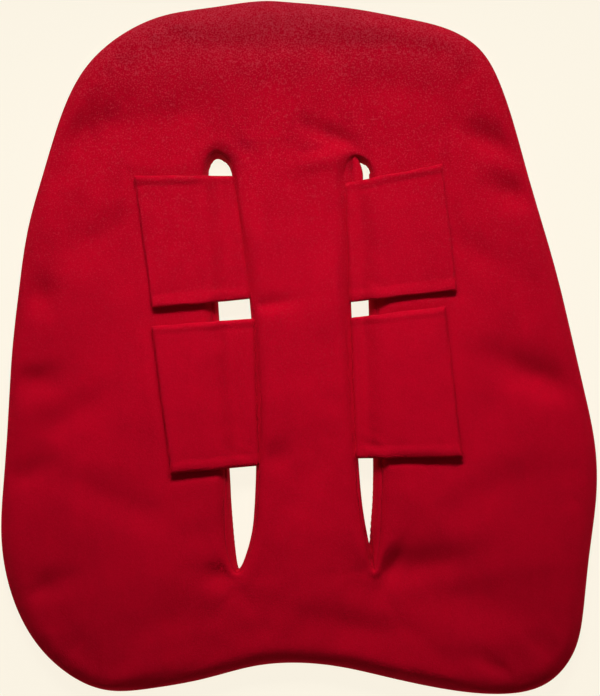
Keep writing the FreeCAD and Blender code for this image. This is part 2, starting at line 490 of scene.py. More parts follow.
def apply_modifiers(made):
    """Replaces an object's mesh by what its modifiers make of it."""
    graph = bpy.context.evaluated_depsgraph_get()
    result = bpy.data.meshes.new_from_object(made.evaluated_get(graph))
    made.modifiers.clear()
    old, made.data = made.data, result
    bpy.data.meshes.remove(old)
    made.data.name = made.name
    return made


def subdivided(made, levels=1):
    smooth = made.modifiers.new("subdivide", "SUBSURF")
    smooth.levels = smooth.render_levels = levels
    return apply_modifiers(made)


def thickened(made, thickness):
    """Gives an open sheet its cloth's thickness, inwards, so that it closes."""
    solid = made.modifiers.new("thickness", "SOLIDIFY")
    solid.thickness, solid.offset = thickness, -1
    return apply_modifiers(made)


def inflate(made, held, pressure, most, frames=20):
    """Cloth simulation of a filled cover: the form swells under pressure, and no point moves past most."""
    start = positions(made.data)
    group = made.vertex_groups.new(name="held")
    group.add([int(i) for i in np.flatnonzero(held)], 1.0, "REPLACE")
    cloth = made.modifiers.new("cloth", "CLOTH")
    rules = cloth.settings
    rules.use_pressure, rules.uniform_pressure_force = True, pressure
    rules.vertex_group_mass = "held"
    rules.effector_weights.gravity = 0
    rules.quality = 6
    rules.mass, rules.bending_stiffness = 0.25, 0.4
    rules.tension_stiffness = rules.compression_stiffness = 15
    cloth.point_cache.frame_start, cloth.point_cache.frame_end = 1, frames
    scene = bpy.context.scene
    for step in range(1, frames + 1):
        scene.frame_set(step)
    graph = bpy.context.evaluated_depsgraph_get()
    settled = made.evaluated_get(graph).to_mesh()
    moved = positions(settled) - start
    made.evaluated_get(graph).to_mesh_clear()
    made.modifiers.remove(cloth)
    made.vertex_groups.remove(group)
    scene.frame_set(1)
    far = np.linalg.norm(moved, axis=1)[:, None]
    moved *= most * np.tanh(far / most) / np.maximum(far, 1e-9)
    set_positions(made.data, start + moved)


def dress(made, body, slot, material, *nodes):
    """Gives a finished piece its material and body, and hides the CAD nodes that it stands for; the slot is not
    used.
    """
    made.data.materials.clear()
    made.data.materials.append(finish_named(material))
    count = len(made.data.polygons)
    made.data.polygons.foreach_set("material_index", [0] * count)
    made.data.polygons.foreach_set("use_smooth", [True] * count)
    if body:
        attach(made, body)
    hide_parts(*nodes)
    return made


# ---- panel ----
WALL_TOP, WALL_FOOT = 7.8, 0.7  # heights between which a slot's lining runs straight, in millimetres
# Profiles from the back round to the front: (distance into the panel, height) in millimetres and the label of
# the band that starts there.  The cover's rim has its seam in a groove at 1.5.
COVER_RIM = [
    (3.6, 0.0, BACK), (1.9, 0.05, BACK), (1.0, 0.35, BACK), (0.7, 0.9, BACK), (1.0, 1.5, FRONT),
    (0.3, 2.1, FRONT), (0.0, 3.2, FRONT), (0.05, 4.6, FRONT), (0.6, 6.3, FRONT), (1.7, 7.8, FRONT),
    (3.3, 8.9, FRONT), (5.2, 9.5, FRONT), (7.2, 9.7, FRONT),
]
COVER_WALL = [
    (1.6, 0.0, BACK), (0.35, 0.15, BACK), (0.0, 0.7, LEFT_LINING), (0.0, 2.4, LEFT_LINING),
    (0.0, 4.2, LEFT_LINING), (0.0, 6.0, LEFT_LINING), (0.0, 7.8, FRONT), (0.25, 8.6, FRONT), (0.9, 9.3, FRONT),
    (2.0, 9.65, FRONT), (3.8, 9.7, FRONT),
]
SOFT_RIM = [(6.0, 6.15, BACK), (3.4, 6.35, FRONT), (3.7, 7.3, FRONT), (5.2, 8.1, FRONT), (7.6, 8.4, FRONT)]
SOFT_WALL = [(5.0, 6.15, BACK), (2.4, 6.35, FRONT), (2.5, 7.3, FRONT), (3.4, 8.1, FRONT), (5.2, 8.4, FRONT)]
FIRM_RIM = [
    (6.0, 1.25, BACK), (3.2, 1.4, FRONT), (2.2, 2.4, FRONT), (2.0, 4.2, FRONT), (2.7, 5.7, FRONT),
    (5.2, 6.05, FRONT),
]
FIRM_WALL = [
    (5.0, 1.25, BACK), (2.4, 1.4, FRONT), (2.0, 2.4, FRONT), (2.0, 4.2, FRONT), (2.4, 5.7, FRONT),
    (4.2, 6.05, FRONT),
]

PRESSED = 10.35 * MM  # height of the front under a closed flap
SLOT_BEAD = 0.55 * MM  # height of the bead along the slots' edges
DEEPEST_DENT = 4.6 * MM  # of the foams, below the cloth's hollows
BULGE = 38.2, 86  # tip, in millimetres, of the lining's bulge into the right slot

# Soft hollows (negative) and ridges of the front: x, y, half length, half width, turn in degrees, height;
# lengths are in millimetres.
RELIEF = [
    (-96, 115, 20, 10, 27, -4.8), (-104, 131, 20, 7, 40, 1.0), (-114, 92, 14, 7, 40, -2.0),
    (102, 101, 16, 7, -27, -4.0), (106, 115, 18, 6, -45, 0.8), (113, 75, 14, 8, -20, -4.4),
    (121, -17, 21, 9, -27, -4.6), (-125, 33, 9, 9, 0, -3.4), (-130, -10, 12, 7, 12, -3.2),
    (-136, -56, 12, 7, 25, -3.0), (-126, -112, 14, 7, 20, -1.8), (-112, -28, 26, 8, 30, -1.5),
    (18, 95, 15, 5, 12, 2.2), (22, 107, 15, 5, -24, -3.0), (35, 100, 9, 3, -35, -0.9),
    (60, -109, 25, 9, 6, -3.6), (78, -127, 36, 15, -8, -3.0), (46, -108, 13, 4, 58, -1.8),
    (-9, -53, 9, 7, 30, -1.5), (-41, -110, 8, 6, 0, -2.4), (-11, 24, 11, 3.5, 6, -1.7),
    (0, 152, 60, 6, -2, -1.2),
    (4, 20, 110, 6, 89, -0.8), (-15.5, 20, 90, 3, 92, 0.5), (23.5, 15, 90, 3.4, 90, 0.6),
    (6, -62, 26, 9, 60, -1.4), (25, -138, 40, 7, -12, -1.4), (-70, -135, 40, 9, 8, -1.2),
    (100, -20, 50, 9, 70, -0.8), (-95, 10, 60, 10, 70, -0.8),
    (-58, 118, 24, 8, 14, -1.4), (62, 128, 26, 8, -12, -1.3), (-100, 58, 26, 8, 30, -1.4),
    (95, 45, 22, 8, -30, -1.4), (-95, -70, 30, 9, -25, -1.4), (95, -75, 26, 8, 25, -1.3),
]


def relief(points):
    """Height that the cloth's hollows and ridges add at flat points."""
    total = np.zeros(len(points))
    for x, y, long, wide, turn, height in RELIEF:
        away = (points - np.array([x, y]) * MM) / MM
        c, s = math.cos(math.radians(turn)), math.sin(math.radians(turn))
        along, across = away @ np.array([c, s]), away @ np.array([-s, c])
        total += height * MM * np.exp(-((along / long) ** 2) - (across / wide) ** 2)
    return total


def wave(x, y, size, layer):
    """Noise from -1 to 1 whose lumps are about size across; layers differ from each other."""
    return noise.noise(Vector((x / size, y / size, layer)))


def unevenness(points, height):
    """Soft waves, about 30 and 12 mm long."""
    return np.array([
        height * (wave(x, y, 30 * MM, 3.7) + 0.45 * wave(x, y, 12 * MM, 8.1)) for x, y in points
    ])


def hump(distance, middle, width):
    """Smooth bump of height 1 at a distance; its middle and width are in millimetres."""
    return np.exp(-((distance - middle * MM) / (width * MM)) ** 2)


class PanelLines:
    """The panel's outline and its slots' front and back edges, from the packed model."""

    def __init__(self, spacing):
        rim, *backs = level_loops("back_cover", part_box("back_cover")[0].z)[:3]
        fronts = level_loops("front_cover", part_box("front_cover")[1].z)[1:3]
        self.rim = rim_ring(rim, int(perimeter(rim) / spacing))
        count = int(perimeter(fronts[0]) / (2 * 0.72 * spacing))
        self.fronts, self.backs = (
            [slot_ring(loop, count) for loop in sorted(loops, key=lambda loop: loop[:, 0].mean())]
            for loops in (fronts, backs)
        )

    def rim_at(self, inset):
        """The outline moved inwards, in millimetres."""
        return self.rim + inward(self.rim) * inset * MM

    def slot_at(self, side, height, outset):
        """A slot's wall at a height and moved into the panel, both in millimetres."""
        share = min(max((WALL_TOP - height) / (WALL_TOP - WALL_FOOT), 0), 1)
        top, bottom = self.fronts[side], self.backs[side]
        wall = top + (bottom - top) * share
        return wall + (inward(top) * (1 - share) + inward(bottom) * share) * outset * MM


def make_form(name, lines, rim, wall, cells, seed):
    """Closed form between the outline and the slots.

    rim and wall are profiles from the back face round to the front face: (distance into the panel, height,
    label), in millimetres, where the label is of the band that starts there.
    """
    form = Shell()
    rings = [form.ring(lines.rim_at(inset), height * MM) for inset, height, _ in rim]
    for low, high, (_, _, label) in zip(rings, rings[1:], rim):
        form.bridge(low, high, label)
    backs, fronts = [], []
    for side, lining in enumerate((LEFT_LINING, RIGHT_LINING)):
        rows = [form.ring(lines.slot_at(side, height, outset), height * MM) for outset, height, _ in wall]
        for low, high, (_, _, label) in zip(rows, rows[1:], wall):
            form.bridge(low, high, lining if label == LEFT_LINING else label)
        backs.append(rows[0])
        fronts.append(rows[-1])
    form.fill(rings[-1], fronts, cells[0], rim[-1][1] * MM, FRONT, True, seed)
    form.fill(rings[0], backs, cells[1], rim[0][1] * MM, BACK, False, seed + 1)
    return form.build(name)


def split_off(form, label, name):
    """Copy of the faces with one label, as an object of its own."""
    mesh = bmesh.new()
    mesh.from_mesh(form.data)
    bmesh.ops.delete(mesh, geom=[f for f in mesh.faces if f.material_index != label], context="FACES")
    made = new_object(name, [])
    mesh.to_mesh(made.data)
    mesh.free()
    return made


def press_under_flaps(points):
    """Lowers the front where the flaps lie on it."""
    for name in FLAPS:
        corners = Flap(name).outline()
        steps = np.roll(corners, -1, 0) - corners
        steps /= np.linalg.norm(steps, axis=1)[:, None]
        out = np.max([
            (points[:, 0] - x) * -dy + (points[:, 1] - y) * dx for (x, y), (dx, dy) in zip(corners, steps)
        ], axis=0)
        press = np.clip(1 - out / (5 * MM), 0, 1)
        points[:, 2] -= press * np.maximum(points[:, 2] - PRESSED, 0)


class PROTECTOR_OT_panel(bpy.types.Operator):
    """Sew and fill the panel: front cover, back cover and the linings of its two slots"""

    bl_idname = "protector.panel"
    bl_label = "Panel covers"

    def execute(self, context):
        shape = settings("panel")
        lines = PanelLines(RIM_SPACING)
        form = make_form("panel_form", lines, COVER_RIM, COVER_WALL, (shape.cell, 1.7 * shape.cell), 11)
        inflate(form, positions(form.data)[:, 2] < 6 * MM, shape.pressure, shape.swell)
        subdivided(form)
        points = positions(form.data)
        flat = points[:, :2]
        from_rim, from_slots = clearance(flat, [lines.rim]), clearance(flat, lines.fronts)
        top = np.clip((points[:, 2] - 6.5 * MM) / (3 * MM), 0, 1)
        soft = np.clip(from_slots / (4 * MM), 0, 1)
        bead = shape.bead * (hump(from_rim, 6.5, 4.5) - 0.6 * hump(from_rim, 17, 6))
        slot_bead = SLOT_BEAD * hump(from_slots, 4.5, 3)
        points[:, 2] += top * (bead + slot_bead + soft * (relief(flat) + unevenness(flat, shape.crumple)))
        press_under_flaps(points)
        self.loosen_linings(points, lines)
        set_positions(form.data, points)
        parts = [
            (FRONT, "front_cover_cloth", "cover_fabric", "cover_cloth", ("front_cover",)),
            (BACK, "back_cover_cloth", "back_fabric", "back_cloth", ("back_cover",)),
            (LEFT_LINING, "left_slot_lining", "cover_fabric", "cover_cloth", ("slot_facing_left",)),
            (RIGHT_LINING, "right_slot_lining", "cover_fabric", "cover_cloth", ("slot_facing_right",)),
        ]
        for label, name, slot, material, nodes in parts:
            piece = thickened(split_off(form, label, name), PLY)
            dress(piece, "pad", slot, material, *nodes)
        bpy.data.objects.remove(form)
        return {"FINISHED"}

    @staticmethod
    def loosen_linings(points, lines):
        """Slack in the slots' linings: they bow into the slots, meet the tails of the flaps, and bulge out
        beside the top of the right slot."""
        height = points[:, 2] / MM
        depth = np.clip((height - 0.6) / 1.6, 0, 1) * np.clip((8.2 - height) / 1.4, 0, 1)
        for front in lines.fronts:
            out, tree = inward(front), search_tree(front)
            for n in np.flatnonzero(depth > 0):
                _, near, away = tree.find((*points[n, :2], 0))
                if away < 14 * MM and holds(front, points[n : n + 1, :2] - out[near] * 0.2 * MM)[0]:
                    slack = 0.9 if front[near][1] < 88 * MM else 0.3
                    points[n, :2] -= out[near] * slack * MM * depth[n]
        for name in FLAPS:
            flap = Flap(name)
            square = np.array([flap.up[1], -flap.up[0]])
            square *= np.sign(square @ flap.out)
            across = (points[:, :2] - flap.root[0]) @ square
            along = (points[:, :2] - flap.root[0]) @ flap.up
            beyond = np.abs(along - flap.height / 2) - flap.height / 2
            beside = np.clip(1 - beyond / (9 * MM), 0, 1) * (np.abs(across) < 5 * MM)
            short = beside * np.maximum(1.0 * MM - across, 0) * np.clip(depth * 3, 0, 1)
            points[:, :2] += short[:, None] * square
        x, y, _ = (points / MM).T
        bulge = BULGE[0] - 0.03 * (y - BULGE[1]) ** 2
        push = np.where((y > 66) & (y < 97) & (x > 24), np.maximum(bulge - x, 0), 0)
        points[:, 0] += push * np.clip((y - 66) / 12, 0, 1) * MM * depth


class PROTECTOR_OT_foams(bpy.types.Operator):
    """Cut the two layers of foam that fill the panel: soft under the front cloth, firm against the back"""

    bl_idname = "protector.foams"
    bl_label = "Foam layers"

    def execute(self, context):
        lines = PanelLines(1.6 * RIM_SPACING)
        layers = [
            ("soft_foam_layer", SOFT_RIM, SOFT_WALL, "soft_foam", "comfort_foam", 6.25, 0.6, 1.0),
            ("firm_foam_layer", FIRM_RIM, FIRM_WALL, "firm_foam", "impact_foam", 1.4, 0.0, 0.6),
        ]
        for name, rim, wall, material, node, low, under, over in layers:
            piece = make_form(name, lines, rim, wall, (5 * MM, 8 * MM), 21)
            points = positions(piece.data)
            dent = np.clip(relief(points[:, :2]), -DEEPEST_DENT, 0)
            high = (points[:, 2] - low * MM) / (rim[-1][1] - low) / MM
            points[:, 2] += dent * (under + (over - under) * np.clip(high, 0, 1))
            set_positions(piece.data, points)
            dress(piece, "pad", material, material, node)
        return {"FINISHED"}


# ---- flaps ----
TAIL_STEPS = (2.2, 2.35, 2.7, 3.3, 4.4, 5.5, 6.6)  # heights of the sewn-in tail, in millimetres
TAIL_PLACE, BEND_RADIUS = 0.9, 2.2
TAIL_HALF = 0.8 * MM  # half of the tail's thickness
PLATE_HEIGHT = 12.75 * MM
INSIDE_EDGE = (0.0, 0.15, 0.5, 1.1, 2.2, 3.4, 4.5, 5.6, 6.6, 7.6)  # rows close to an edge, in millimetres
LOWER_HEM, UPPER_HEM = 6.4, 4.4  # widths of the rolled hems, in millimetres


class Flap:
    """Plan and section of one flap, which runs from its root beside the spine out to its free edge."""

    def __init__(self, name):
        self.name, self.body = name, f"flap_{name}"
        node = f"{self.body}_interlining"
        corners = level_loops(node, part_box(node)[1].z)[0]
        joint = next(j for j in frame["joints"] if j["child"] == self.body)
        middle, axis = np.array(joint["pos_m"][:2]), np.array(joint["axis"][:2])
        away = np.abs((corners - middle) @ np.array([-axis[1], axis[0]]))
        near_first = corners[np.argsort(away)]
        roots, frees = (pair[np.argsort(pair[:, 1])] for pair in (near_first[:2], near_first[2:]))
        self.up = (roots[1] - roots[0]) / np.linalg.norm(roots[1] - roots[0])
        out = frees - roots
        out /= np.linalg.norm(out, axis=1)[:, None]
        grow = np.array([-self.up, self.up]) * PLY
        self.root, self.free = roots + grow, frees + grow + out * PLY
        self.middle = self.root.mean(0)
        self.out = (self.free - self.root).mean(0)
        self.length = np.linalg.norm(self.out)  # from root to free edge, on average
        self.out /= self.length
        self.height = np.linalg.norm(self.root[1] - self.root[0])  # along the root

    def outline(self):
        """Corners in plan, clockwise."""
        return clockwise(np.array([self.root[0], self.root[1], self.free[1], self.free[0]]))

    def rib(self, share):
        """Ends, at the root and at the free edge, of a line across the flap at a share of its height."""
        return (low + (high - low) * share for low, high in (self.root, self.free))

    def spot(self, up, out, height):
        """Point at distances up the root and out from it, and at a height."""
        root, free = self.rib(up / self.height)
        return (*(root + (free - root) * out / self.length), height)

    def sheet(self, name, gap_line, thickness, start=None, inset=0.0, drop=0.0, end=None, hem=0.0, sag=0.0):
        """Closed sheet that follows the flap's section.

        Without a start it has its sewn-in tail; start and end are distances from the root; inset is from the
        other edges, and drop moves it to the flap's underside.
        """
        half, width = thickness / 2, self.height - 2 * inset
        edge = [x * MM for x in INSIDE_EDGE]
        count = max(2, round((width - 2 * edge[-1]) / (3.2 * MM)))
        inner = np.linspace(edge[-1], width - edge[-1], count)
        rows = np.r_[edge[:-1], inner, [width - x for x in edge[-2::-1]]]
        stop = (self.length if end is None else end) - inset
        first = (TAIL_PLACE + BEND_RADIUS) * MM if start is None else start
        count = max(2, round((stop - edge[-1] - first) / (2.8 * MM)))
        plate = np.r_[np.linspace(first, stop - edge[-1], count), [stop - x for x in edge[-2::-1]]]
        stations = []
        if start is None:
            stations += [("tail", z * MM) for z in TAIL_STEPS]
            stations += [("bend", math.radians(angle)) for angle in (22.5, 45, 67.5)]
        else:
            plate = np.r_[[first + x for x in edge[:4]], plate[1:]]
        stations += [("plate", x) for x in plate]
        last_row, last_station = len(rows) - 1, len(stations) - 1
        number, points, faces = {}, [], []
        for i, v in enumerate(rows):
            share = (v + inset) / self.height
            root, free = self.rib(share)
            length = np.linalg.norm(free - root)
            out = (free - root) / length
            gap = gap_line[int(round(share * (len(gap_line) - 1)))]
            side = min(v, width - v)
            roll = rolled(side, LOWER_HEM if v < width / 2 else UPPER_HEM)
            mids, halves = [], []
            for kind, value in stations:
                if kind == "tail":
                    mids.append((TAIL_PLACE * MM, value))
                    thick, from_end = TAIL_HALF, value - TAIL_STEPS[0] * MM
                elif kind == "bend":
                    mids.append((
                        (TAIL_PLACE + BEND_RADIUS * (1 - math.cos(value))) * MM,
                        (TAIL_STEPS[-1] + BEND_RADIUS * math.sin(value)) * MM,
                    ))
                    thick, from_end = TAIL_HALF + (half - TAIL_HALF) * value / math.radians(90), 1.0
                else:
                    x = value * (length / self.length)
                    mids.append((x, self.lie(x, gap, sag)))
                    thick, from_end = half, min(stop - value, 1.0 if start is None else value - start)
                halves.append(thick * rounded(min(side, from_end), thick) * (1 + hem / half * roll))
            mids = np.array(mids)
            run = np.gradient(mids, axis=0)
            run /= np.linalg.norm(run, axis=1)[:, None]
            normal = np.c_[-run[:, 1], run[:, 0]]
            for j in range(len(stations)):
                rim = i in (0, last_row) or j in (0, last_station)
                for k, sign in enumerate((1,) if rim else (1, -1)):
                    x, z = mids[j] + normal[j] * (sign * halves[j] - drop)
                    number[i, j, k] = len(points)
                    points.append((*(root + out * x), z))
                if rim:
                    number[i, j, 1] = number[i, j, 0]
        for i in range(last_row):
            for j in range(last_station):
                corners = (i, j), (i, j + 1), (i + 1, j + 1), (i + 1, j)
                faces += [[number[(*corner, k)] for corner in corners] for k in (0, 1)]
        return closed_mesh(name, points, faces)

    def lie(self, x, gap, sag):
        """Height of the flap's middle at a distance from its root: it sags over the slot, then climbs."""
        low = settings("flap").root_height
        over = min(max((x - 3 * MM) / max(gap - 6 * MM, MM), 0), 1)
        climb = min(max((x - gap + 5 * MM) / (7.5 * MM), 0), 1)
        climb = climb * climb * (3 - 2 * climb)
        return low - sag * math.sin(math.pi * over) + (PLATE_HEIGHT - low) * climb

    def gaps(self, slot):
        """Distance from the root to the slot's outer edge, at steps up the root."""
        found = []
        reach = np.arange(0, 34, 0.5) * MM
        for share in np.linspace(0, 1, 25):
            root, _ = self.rib(share)
            spots = root + self.out * (reach[:, None] + 0.5 * MM)
            inside = np.flatnonzero(holds(slot, spots))
            found.append(reach[inside[-1]] if len(inside) else 14 * MM)
        return np.array(found)


def rounded(distance, radius):
    """Share of full thickness at a distance from a rounded edge."""
    near = min(distance / (1.3 * radius), 1)
    return math.sqrt(max(1 - (1 - near) ** 2, 0))


def rolled(distance, width):
    """Extra thickness of the rolled hem along a flap's long edge, with the dip of its fold line inside it."""
    d = distance / MM
    roll = math.exp(-(((d - 0.45 * width) / (0.4 * width)) ** 2))
    return roll - 0.45 * math.exp(-(((d - width) / 1.3) ** 2))


def closed_mesh(name, points, faces):
    """Object from points and faces, with its faces turned outwards."""
    made, turned = new_object(name, points, faces=faces), bmesh.new()
    turned.from_mesh(made.data)
    bmesh.ops.recalc_face_normals(turned, faces=turned.faces)
    turned.to_mesh(made.data)
    turned.free()
    return made


def slot_of(flap, lines):
    return lines.fronts[0 if flap.name.endswith("left") else 1]


def show_use(made, flap):
    """Signs of use on all that is sewn to a flap: slack waves, puckers where its lower hem meets its root, and
    uneven edges."""
    points = positions(made.data)
    free = np.clip((points[:, 2] - 8 * MM) / (3 * MM), 0, 1)
    pucker = flap.root[0] + flap.out * 7 * MM + flap.up * 9 * MM
    for p, share in zip(points, free):
        x, y = p[0] / MM, p[1] / MM
        slack = wave(x, y, 19, 2.3) + 0.35 * wave(x, y, 7, 4.4)
        near = np.linalg.norm(p[:2] - pucker) / (7 * MM)
        crease = math.exp(-near * near) * math.sin((x * 0.5 + y) * 0.9)
        p[2] += share * (0.42 * MM * slack + 0.35 * MM * crease)
        p[:2] += share * 0.6 * MM * wave(x, y, 13, 5.9) * flap.up
    set_positions(made.data, points)


class PROTECTOR_OT_flaps(bpy.types.Operator):
    """Sew the four flaps, with the tails that hold them in the slots and the stiffener inside them"""

    bl_idname = "protector.flaps"
    bl_label = "Strap flaps"

    def execute(self, context):
        shape = settings("flap")
        lines = PanelLines(RIM_SPACING)
        for name in FLAPS:
            flap = Flap(name)
            gaps = flap.gaps(slot_of(flap, lines))
            cloth = flap.sheet(f"{flap.body}_cloth", gaps, shape.thickness, hem=shape.hem, sag=shape.sag)
            inflate(cloth, positions(cloth.data)[:, 2] < 8 * MM, 2.0, 0.5 * MM)
            subdivided(cloth)
            show_use(cloth, flap)
            dress(cloth, None, "cover_fabric", "cover_cloth", f"{flap.body}_cover", f"{flap.body}_sewn_tail")
            start = flap.middle - flap.out * MM
            end = flap.middle + flap.out * 11 * MM
            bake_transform(cloth)
            stiffener = flap.sheet(
                f"{flap.body}_stiffener", gaps, 0.45 * MM, start=14 * MM, inset=2.2 * MM, drop=0.25 * MM,
                sag=shape.sag,
            )
            show_use(stiffener, flap)
            dress(stiffener, flap.body, "soft_foam", "soft_foam", f"{flap.body}_interlining")
        return {"FINISHED"}


# ---- hook tape ----
TAPE_DROP, TAPE_THICK, TAPE_INSET = 0.55 * MM, 0.55 * MM, 4 * MM
TAPE_NEAR, TAPE_FAR = 24.3 * MM, 3.9 * MM  # edges of the tape, from the flap's free edge
HOOK_MARGIN, SEAM_MARGIN = 1.2 * MM, 1 * MM  # from the edges of the tape


def group_of_nodes(name, inputs):
    """Geometry Nodes tree with sockets (name, kind); gives the tree and its input node."""
    tree = bpy.data.node_groups.new(name, "GeometryNodeTree")
    sockets = [("Geometry", "Geometry"), *inputs, ("Material", "Material")]
    for label, kind in sockets:
        tree.interface.new_socket(name=label, in_out="INPUT", socket_type=f"NodeSocket{kind}")
    tree.interface.new_socket(name="Geometry", in_out="OUTPUT", socket_type="NodeSocketGeometry")
    return tree, tree.nodes.new("NodeGroupInput")


def finish_tree(tree, given, placed):
    """Ends a tree in Realize Instances and Set Material."""
    real = add_node(tree, "GeometryNodeRealizeInstances", None, {0: placed.outputs[0]})
    inputs = {"Geometry": real.outputs[0], "Material": given.outputs["Material"]}
    coated = add_node(tree, "GeometryNodeSetMaterial", None, inputs)
    add_node(tree, "NodeGroupOutput", None, {0: coated.outputs[0]})
    return tree


def run_nodes(made, tree, values):
    """Runs a tree on an object and keeps the plain mesh that it gives."""
    modifier = made.modifiers.new("nodes", "NODES")
    modifier.node_group = tree
    sockets = {item.name: item.identifier for item in tree.interface.items_tree if item.in_out == "INPUT"}
    for label, value in values.items():
        modifier[sockets[label]] = value
    return apply_modifiers(made)


def stitch_tree():
    """Stitches along the edges of a mesh, one plump thread bar for each pitch."""
    known = bpy.data.node_groups.get("stitches")
    if known:
        return known
    sockets = [("Pitch", "Float"), ("Length", "Float"), ("Thread", "Float"), ("Seed", "Int")]
    tree, given = group_of_nodes("stitches", sockets)
    line = add_node(tree, "GeometryNodeMeshToCurve", None, {"Mesh": given.outputs["Geometry"]})
    spaced = add_node(
        tree, "GeometryNodeResampleCurve", {"mode": "LENGTH"},
        {"Curve": line.outputs[0], "Length": given.outputs["Pitch"]},
    )
    tangent = add_node(tree, "GeometryNodeInputTangent")
    aim = add_node(tree, "FunctionNodeAlignRotationToVector", {"axis": "X"}, {"Vector": tangent.outputs[0]})
    lean = add_node(
        tree, "FunctionNodeRandomValue", {"data_type": "FLOAT_VECTOR"},
        {0: (-0.05, -0.08, -0.12), 1: (0.05, 0.08, 0.12), "Seed": given.outputs["Seed"]},
    )
    turn = add_node(
        tree, "FunctionNodeRotateRotation", {"rotation_space": "LOCAL"}, {0: aim.outputs[0], 1: lean.outputs[0]}
    )
    half = add_node(tree, "ShaderNodeMath", {"operation": "MULTIPLY"}, {0: given.outputs["Length"], 1: 0.5})
    size = add_node(
        tree, "ShaderNodeCombineXYZ", None,
        {0: half.outputs[0], 1: given.outputs["Thread"], 2: given.outputs["Thread"]},
    )
    bar = add_node(tree, "GeometryNodeMeshUVSphere", None, {"Segments": 6, "Rings": 5, "Radius": 1.0})
    placed = add_node(tree, "GeometryNodeInstanceOnPoints", None, {
        "Points": spaced.outputs[0], "Instance": bar.outputs[0], "Rotation": turn.outputs[0],
        "Scale": size.outputs[0],
    })
    return finish_tree(tree, given, placed)


def stitched(name, line, closed, body, *nodes):
    """Row of stitches along a line of points, riding on a body."""
    seam, count = settings("seam"), len(line)
    edges = [(n, (n + 1) % count) for n in range(count if closed else count - 1)]
    made = new_object(name, line, edges)
    run_nodes(made, stitch_tree(), {
        "Pitch": seam.pitch, "Length": seam.length, "Thread": seam.thread, "Seed": seam.seed,
        "Material": finish_named("thread"),
    })
    return dress(made, body, "thread", "thread", *nodes)


def hook_tree():
    """One small bent hook on each point of a mesh, with a random turn."""
    known = bpy.data.node_groups.get("hooks")
    if known:
        return known
    tree, given = group_of_nodes("hooks", [("Hook", "Object"), ("Seed", "Int")])
    shape = add_node(tree, "GeometryNodeObjectInfo", None, {"Object": given.outputs["Hook"]})
    turn = add_node(
        tree, "FunctionNodeRandomValue", {"data_type": "FLOAT_VECTOR"},
        {0: (-0.1, -0.1, -0.5), 1: (0.1, 0.1, 0.5), "Seed": given.outputs["Seed"]},
    )
    placed = add_node(tree, "GeometryNodeInstanceOnPoints", None, {
        "Points": given.outputs["Geometry"], "Instance": shape.outputs["Geometry"],
        "Rotation": turn.outputs[0],
    })
    return finish_tree(tree, given, placed)


def hook_shape():
    """A nylon hook that points down and bends over: five square sections, tapering."""
    path = [(0.0, 0.12), (0.0, -0.22), (0.06, -0.42), (0.2, -0.5), (0.32, -0.4)]
    points, faces = [], []
    for n, (x, z) in enumerate(path):
        w = (0.11 - 0.014 * n) * MM
        lean = math.radians((0, 0, 40, 90, 150)[n])
        dx, dz = math.cos(lean) * w, math.sin(lean) * w
        points += [
            (x * MM - dx, -w, z * MM - dz), (x * MM + dx, -w, z * MM + dz),
            (x * MM + dx, w, z * MM + dz), (x * MM - dx, w, z * MM - dz),
        ]
        if n:
            for k in range(4):
                a, b = 4 * (n - 1) + k, 4 * (n - 1) + (k + 1) % 4
                faces.append((a, b, b + 4, a + 4))
    faces += [(3, 2, 1, 0), tuple(range(len(points) - 4, len(points)))]
    return closed_mesh("hook_shape", points, faces)


class PROTECTOR_OT_hook_tapes(bpy.types.Operator):
    """Put the hook tape on the underside of each flap, with its rows of hooks and its stitching"""

    bl_idname = "protector.hook_tapes"
    bl_label = "Hook tapes"

    def execute(self, context):
        shape = settings("flap")
        lines = PanelLines(RIM_SPACING)
        hook = hook_shape()
        drop = shape.thickness / 2 + TAPE_DROP
        step, margin = shape.hook_gap, TAPE_INSET + HOOK_MARGIN
        for name in FLAPS:
            flap = Flap(name)
            node = f"{flap.body}_hook_tape"
            near, end = flap.length - TAPE_NEAR, flap.length - TAPE_FAR
            base = flap.sheet(
                f"{flap.body}_tape_base", flap.gaps(slot_of(flap, lines)), TAPE_THICK,
                start=near, end=end + TAPE_INSET, inset=TAPE_INSET, drop=drop,
            )
            spots = [
                flap.spot(up, out, PLATE_HEIGHT - drop - 0.27 * MM)
                for n, up in enumerate(np.arange(margin, flap.height - margin, step * 0.87))
                for out in np.arange(near + HOOK_MARGIN + (n % 2) * step / 2, end - HOOK_MARGIN, step)
            ]
            hooks = new_object(f"{flap.body}_hooks", spots)
            run_nodes(hooks, hook_tree(), {"Hook": hook, "Seed": 3, "Material": finish_named("hook_tape")})
            for piece in (base, hooks):
                show_use(piece, flap)
                dress(piece, flap.body, "hook_tape", "hook_tape", node)
            low, inner = TAPE_INSET + SEAM_MARGIN, near + SEAM_MARGIN
            high, outer = flap.height - low, end - SEAM_MARGIN
            corners = (low, inner), (low, outer), (high, outer), (high, inner)
            ring = [flap.spot(up, out, PLATE_HEIGHT - drop - 0.3 * MM) for up, out in corners]
            seam = stitched(f"{flap.body}_tape_seam", ring, True, flap.body, f"{flap.body}_tape_stitching")
            show_use(seam, flap)
        bpy.data.objects.remove(hook)
        return {"FINISHED"}


